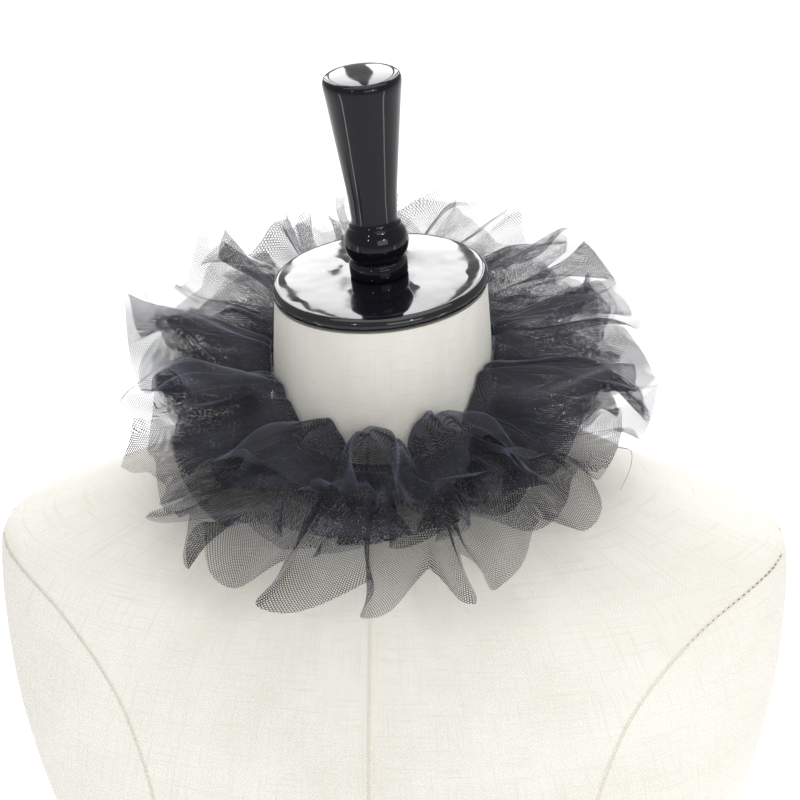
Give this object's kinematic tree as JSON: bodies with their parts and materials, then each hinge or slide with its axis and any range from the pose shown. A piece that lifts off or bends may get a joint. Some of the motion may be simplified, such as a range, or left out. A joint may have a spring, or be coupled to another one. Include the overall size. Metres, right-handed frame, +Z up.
{
  "type": "ruff collar on dress form",
  "caption": "Round neck ruff of gathered net strips in loops and ruffles, worn on a limbless linen dress form with a turned cap handle.",
  "frame": {"origin": "centre of the bounding box's underside, on the surface the dress form stands on", "axes": "+Z up along the neck, -Y to the front of the dress form, +X to its left arm side"},
  "size_m": [0.411, 0.2655, 0.7477],
  "materials": {
    "linen": "plain undyed linen weave, matt",
    "lacquer": "black lacquer on turned wood, very glossy",
    "net": "fine black net, see-through in one layer, slight sheen"
  },
  "bodies": {
    "root": {"form_body": "linen", "neck_cap": "lacquer", "cap_finial": "lacquer", "ruffle_top": "net", "ruffle_middle": "net", "ruffle_under": "net"}
  },
  "joints": []
}
